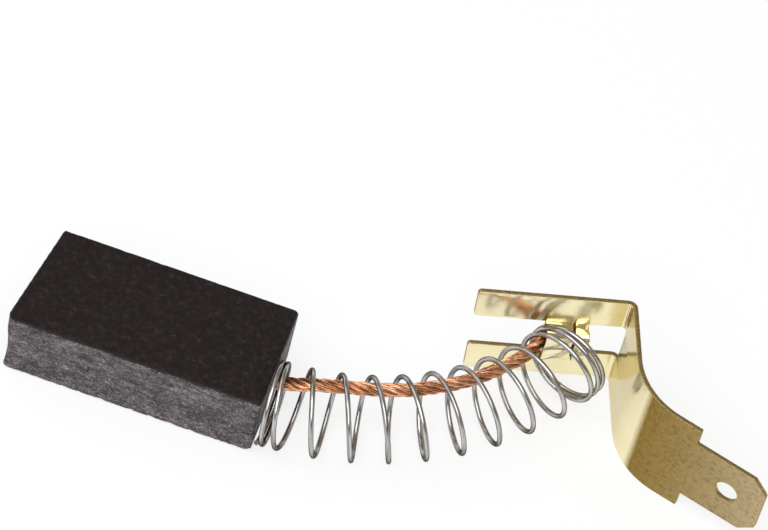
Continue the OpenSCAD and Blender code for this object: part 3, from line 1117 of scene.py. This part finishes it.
# %% Outline of the blank
NEUTRAL = STRIP_THICKNESS / 2
STRAIGHTS = (FORK_REACH + WEB_X - BEND_RADIUS, WEB_RUN - BEND_RADIUS, TAB_FLAT + TAB_LENGTH)
BEND_LENGTH = (BEND_RADIUS + NEUTRAL) * math.pi / 2
SWEEP_LENGTH = (SWEEP_RADIUS - NEUTRAL) * SWEEP_ANGLE
STRIP_RUNS = [
    (STRAIGHTS[0], 0), (BEND_LENGTH, -math.pi / 2), (STRAIGHTS[1], 0),
    (SWEEP_LENGTH, SWEEP_ANGLE), (STRAIGHTS[2], 0),
]
STRIP_LENGTH = sum(length for length, turn in STRIP_RUNS)
SHOULDER = STRIP_LENGTH - TAB_LENGTH
ARM = (STRIP_WIDTH - FORK_GAP) / 2
TAB_LOW, TAB_HIGH = (STRIP_WIDTH - TAB_WIDTH) / 2, (STRIP_WIDTH + TAB_WIDTH) / 2
TAB_CUT_X, TAB_CUT_Y = 1.25, 1.15
HOLE_X, HOLE_RADIUS = 3.4, 0.95
TIP_SLANT = 0.55
WINDOW_PAST_BEND = 0.15


def tip_at(height):
    """The arms end on a slightly slanted line."""
    return TIP_SLANT * (1 - height / STRIP_WIDTH)


blank_outline = rounded([
    (tip_at(0), 0, 0.3), (SHOULDER, 0, 0.1), (SHOULDER, TAB_LOW, 0.12),
    (STRIP_LENGTH - TAB_CUT_X, TAB_LOW, 0.3), (STRIP_LENGTH, TAB_LOW + TAB_CUT_Y, 0.3),
    (STRIP_LENGTH, TAB_HIGH - TAB_CUT_Y, 0.3), (STRIP_LENGTH - TAB_CUT_X, TAB_HIGH, 0.3),
    (SHOULDER, TAB_HIGH, 0.12), (SHOULDER, STRIP_WIDTH, 0.1), (0, STRIP_WIDTH, 0.3),
    (tip_at(STRIP_WIDTH - ARM), STRIP_WIDTH - ARM, 0.25),
    (FORK_REACH + CRIMP_FROM, STRIP_WIDTH - ARM, 0.3), (FORK_REACH + CRIMP_FROM, ARM, 0.3),
    (tip_at(ARM), ARM, 0.25),
])
window_end = STRAIGHTS[0] + BEND_LENGTH + WINDOW_PAST_BEND
window = rounded([
    (FORK_REACH + CRIMP_TO, ARM, 0.25), (window_end, ARM, 0.2),
    (window_end, STRIP_WIDTH - ARM, 0.2), (FORK_REACH + CRIMP_TO, STRIP_WIDTH - ARM, 0.25),
])
tab_hole = circle(SHOULDER + HOLE_X, STRIP_WIDTH / 2, HOLE_RADIUS)
print("blank:", round(STRIP_LENGTH, 2), "mm long,", len(blank_outline), "points around")

# %% [markdown]
# ## Bend the strip
#
# Bending maps every point of the flat plate to its place on the bent strip. A flat strip has
# to be cut into narrow bands before it can bend smoothly, so planes slice the plate every few
# degrees of turn. Then each point walks along the runs of the strip: straight runs carry it
# on, and turning runs swing it round an arc. The sheet is made a twentieth thinner than the
# packed strip, so that its soft rims stay inside it. The walk swaps two axes, which turns the
# mesh inside out, so its normals are worked out again at the end.

# %% Walk along the strip
def walk(distance):
    """Plan position and heading on the strip's middle line, in the terminal's own frame."""
    at, heading = Vector((-FORK_REACH, NEUTRAL)), 0.0
    for length, turn in STRIP_RUNS:
        part = min(max(distance, 0), length) if length else 0
        if turn == 0:
            at = at + part * Vector((math.cos(heading), math.sin(heading)))
        else:
            radius = length / turn
            after = heading + part / radius
            at = arc_step(at, radius, heading, after)
            heading = after
        distance -= length
        if distance <= 0:
            break
    return at, heading


def bent(along, across, off):
    """From the flat strip to the part's frame, all in millimetres."""
    at, heading = walk(along)
    x = at.x - off * math.sin(heading)
    y = at.y + off * math.cos(heading)
    return fork_point(x, y, across)


print("tab ends at", [round(c, 2) for c in bent(STRIP_LENGTH, 0, 0)])

# %% Bend the plate
BAND_TURN, SLICE_WITHIN = math.radians(4), 1e-5
STRIP_RIM, ROLLED_THIN = 0.045, 0.95


def slice_at(work, positions):
    for position in positions:
        bmesh.ops.bisect_plane(
            work, geom=work.verts[:] + work.edges[:] + work.faces[:], dist=SLICE_WITHIN,
            plane_co=(position, 0, 0), plane_no=(1, 0, 0),
        )


def make_strip():
    work = plate(blank_outline, [window, tab_hole], STRIP_THICKNESS, STRIP_RIM)
    mark_rim(work)
    begin = 0
    for length, turn in STRIP_RUNS:
        bands = max(1, round(abs(turn) / BAND_TURN))
        slice_at(work, [begin + length * k / bands for k in range(bands + 1)])
        begin += length
    along = work.verts.layers.float.new("along")
    across = work.verts.layers.float.new("across")
    for vertex in work.verts:
        flat = vertex.co.copy()
        vertex[along], vertex[across] = flat.x, flat.y
        vertex.co = bent(flat.x, flat.y, flat.z * ROLLED_THIN) * MM
    work.normal_update()
    bmesh.ops.recalc_face_normals(work, faces=work.faces)
    return work


strip = make_strip()
print("strip:", len(strip.faces), "faces")

# %% [markdown]
# ## The crimp
#
# Two claws fold round the shunt from the strip between the arms. The wide one is smooth. The
# narrow one is puckered where the tool let go of it. Each claw is two ears that meet in a
# seam and curl in. An ear's section is a line with a wall's thickness, drawn as a plate and
# stood on end, so the same helper serves. The wide claw opens in a bell at its mouth, so that
# its rim doesn't cut the wires. The puckers come from a noise, which Blender starts at a
# different place each time unless it is given a seed.

# %% Section of an ear
EAR_TOP, EAR_CORNER, EAR_ROOT = 1.34, 0.32, 0.1
CORNER_STEPS = 8
SEAM_RISE, SEAM_TURN, SEAM_DROP = 0.25, 0.3, 0.12


def ear_line(reach, curl):
    """Middle line of one ear: y away from the strip, z up from the crimp's middle."""
    front = CRIMP_Y - CRIMP_HALF_Y - CRIMP_WALL / 2
    line = [Vector((EAR_ROOT, EAR_TOP)), Vector((front + EAR_CORNER, EAR_TOP))]
    for k in range(1, CORNER_STEPS + 1):
        a = math.pi / 2 * k / CORNER_STEPS
        line.append(Vector((
            front + EAR_CORNER * (1 - math.sin(a)), EAR_TOP - EAR_CORNER * (1 - math.cos(a)),
        )))
    line.append(Vector((front, reach + SEAM_RISE)))
    line.append(Vector((front + curl * SEAM_TURN, reach)))
    line.append(Vector((front + curl, reach - SEAM_DROP)))
    return line


def wall_outline(line, thickness):
    """Both sides of a line, at half the thickness."""
    left, right_side = [], []
    for i, point in enumerate(line):
        along = (line[min(i + 1, len(line) - 1)] - line[max(i - 1, 0)]).normalized()
        across = Vector((-along.y, along.x)) * thickness / 2
        left.append(point + across)
        right_side.append(point - across)
    return left + right_side[::-1]


print("an ear has", len(ear_line(0, 0)), "stations")

# %% Fold the claws
# Where each claw begins and ends, and whether the tool puckered it.
CLAWS = [(CRIMP_FROM, 0.15, False), (0.40, CRIMP_TO, True)]
SMOOTH_REACH, PUCKERED_REACH, EAR_CURL = 0.2, 0.32, 0.16
EAR_WALL, EAR_RIM, EAR_END_SLOPE = CRIMP_WALL * 0.92, 0.06, 0.9
PUCKERS_PER_MM, PUCKER_DEPTH, PUCKER_FADE, OTHER_SIDE = 3.1, 0.17, 0.6, 5
PUCKER_SEED = 3
BELL_LENGTH, BELL_HIGH, BELL_DEEP = 0.9, 0.1, 0.16


def make_ear(start, end, puckered, side):
    reach = PUCKERED_REACH if puckered else SMOOTH_REACH
    section = wall_outline(ear_line(reach, EAR_CURL), EAR_WALL)
    work = plate(section, [], end - start, EAR_RIM)
    layer = work.faces.layers.float.new("cut_edge")
    along = work.verts.layers.float.new("along")
    across = work.verts.layers.float.new("across")
    bmesh.ops.subdivide_edges(work, edges=work.edges[:], cuts=1, use_grid_fill=True)
    work.normal_update()
    for face in work.faces:
        face[layer] = 1.0 if abs(face.normal.z) > EAR_END_SLOPE else 0.0
    for vertex in work.verts:
        y, z, x = vertex.co
        x += (start + end) / 2
        if puckered:
            spot = Vector((
                x * PUCKERS_PER_MM, y * PUCKERS_PER_MM, z * PUCKERS_PER_MM + side * OTHER_SIDE,
            ))
            shove = noise.noise_vector(spot) * PUCKER_DEPTH * clamped(-y / PUCKER_FADE)
            x, y, z = Vector((x, y, z)) + shove
        bell = max(0, 1 - (x - CRIMP_FROM) / BELL_LENGTH) ** 2
        if y < 0:
            z, y = z * (1 + BELL_HIGH * bell), y * (1 + BELL_DEEP * bell)
        vertex[along], vertex[across] = FORK_REACH + x, z
        vertex.co = fork_point(x, y, STRIP_WIDTH / 2 + side * z) * MM
    if side < 0:
        bmesh.ops.reverse_faces(work, faces=work.faces)
    return work


noise.seed_set(PUCKER_SEED)
ears = [make_ear(*claw, side) for claw in CLAWS for side in (-1, 1)]
print("ears:", [len(ear.faces) for ear in ears], "faces")

# %% Join the terminal
BRASS_CREASE = 24


def make_terminal(parts):
    whole = bmesh.new()
    for part in parts:
        whole.from_mesh(mesh_from(part, "part"))
    mesh = mesh_from(whole, "terminal_strip")
    shade_smooth(mesh, BRASS_CREASE)
    mesh.materials.append(ROLLED_BRASS)
    return add_object("brass_terminal", mesh)


terminal = make_terminal([strip, *ears])
print("terminal:", len(terminal.data.polygons), "faces")

# %% [markdown]
# ## Hang the pieces on the frame
#
# Each new piece rides on the one body, and the imported node that it was made from is hidden.

# %% Tell the frame
for piece, node, slot in [
    (block, "carbon_block", "carbon"), (spring, "spring", "spring_steel"),
    (shunt, "shunt", "copper"), (terminal, "terminal", "brass"),
]:
    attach(piece, "root")
    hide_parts(node)
print("pieces placed")

# %% [markdown]
# ## Table, lamps and walls
#
# Bright metal shows its surroundings, so the studio is part of the finish. Two large soft
# lamps and an even level of light from all round make a plain light, in which a colour looks
# as it is written. What the camera and the metal see is set apart from that by the Light Path
# node. They see a white table, which glows a little and still keeps the brush's shadow, white
# walls, and a grey ceiling. The change from wall to ceiling gives the wire its dark lines
# beside the bright ones.

# %% The table
TABLE_WHITE, TABLE_GLOW, TABLE_HALF_SIZE = 0.94, 0.78, 1.5


def seen_directly(tree):
    """One for rays that show the background: from the camera, or by way of metal or glass."""
    rays = add_node(tree, "ShaderNodeLightPath").outputs
    seen = math_node(tree, "MAXIMUM", rays["Is Camera Ray"], rays["Is Glossy Ray"])
    return math_node(tree, "MAXIMUM", seen, rays["Is Transmission Ray"])


def white_table():
    finish, tree, shader = start_finish("white_table", {
        "Base Color": (TABLE_WHITE, TABLE_WHITE, TABLE_WHITE, 1), "Roughness": 0.85,
        "Specular IOR Level": 0.1,
    })
    blend = add_node(tree, "ShaderNodeMixShader", {
        "Fac": math_node(tree, "MULTIPLY", seen_directly(tree), TABLE_GLOW),
        1: shader.outputs["BSDF"],
        2: add_node(tree, "ShaderNodeEmission").outputs["Emission"],
    })
    tree.links.new(blend.outputs["Shader"], tree.nodes["Material Output"].inputs["Surface"])
    work = bmesh.new()
    bmesh.ops.create_grid(work, x_segments=1, y_segments=1, size=TABLE_HALF_SIZE)
    mesh = mesh_from(work, "table")
    mesh.materials.append(finish)
    return add_object("table", mesh)


table = white_table()
print("table of", round(table.dimensions.x, 1), "m")

# %% Lamps and walls
LAMP_DISTANCE, LAMP_SIZE = 0.5, 0.6
# Name, azimuth and elevation in degrees, and watts.
LAMPS = [("key", -105, 60, 2.1), ("fill", 175, 45, 0.7)]
WALL, CEILING, LEVEL = 1.0, 0.3, 0.42
WALL_TOP, CEILING_FROM = 0.1, 0.3


def soft_lamp(name, azimuth, elevation, watts):
    lamp = bpy.data.lights.new(name, "AREA")
    lamp.shape = "DISK"
    lamp.size = LAMP_SIZE
    lamp.energy = watts
    towards = direction(math.radians(azimuth), math.radians(elevation))
    turned = towards.to_track_quat("Z", "Y").to_matrix().to_4x4()
    place = Matrix.Translation(AIM + towards * LAMP_DISTANCE)
    add_object(name, lamp).matrix_world = place @ turned


def studio_walls():
    """White walls and a grey ceiling, where they are seen; an even level of light elsewhere."""
    world = bpy.data.worlds.new("studio")
    world.use_nodes = True
    tree = world.node_tree
    view = add_node(tree, "ShaderNodeTexCoord").outputs["Object"]
    split = add_node(tree, "ShaderNodeSeparateXYZ", {"Vector": view})
    upward = add_node(tree, "ShaderNodeMapRange", {
        "Value": split.outputs["Z"], "From Min": WALL_TOP, "From Max": CEILING_FROM,
        "To Min": WALL, "To Max": CEILING,
    }, interpolation_type="SMOOTHSTEP")
    strength = add_node(tree, "ShaderNodeMapRange", {
        "Value": seen_directly(tree), "To Min": LEVEL, "To Max": upward.outputs["Result"],
    })
    background = tree.nodes["Background"]
    background.inputs["Color"].default_value = (1, 1, 1, 1)
    tree.links.new(strength.outputs["Result"], background.inputs["Strength"])
    bpy.context.scene.world = world


for lamp in LAMPS:
    soft_lamp(*lamp)
studio_walls()
bpy.context.scene.view_settings.view_transform = "Standard"
print("studio ready")
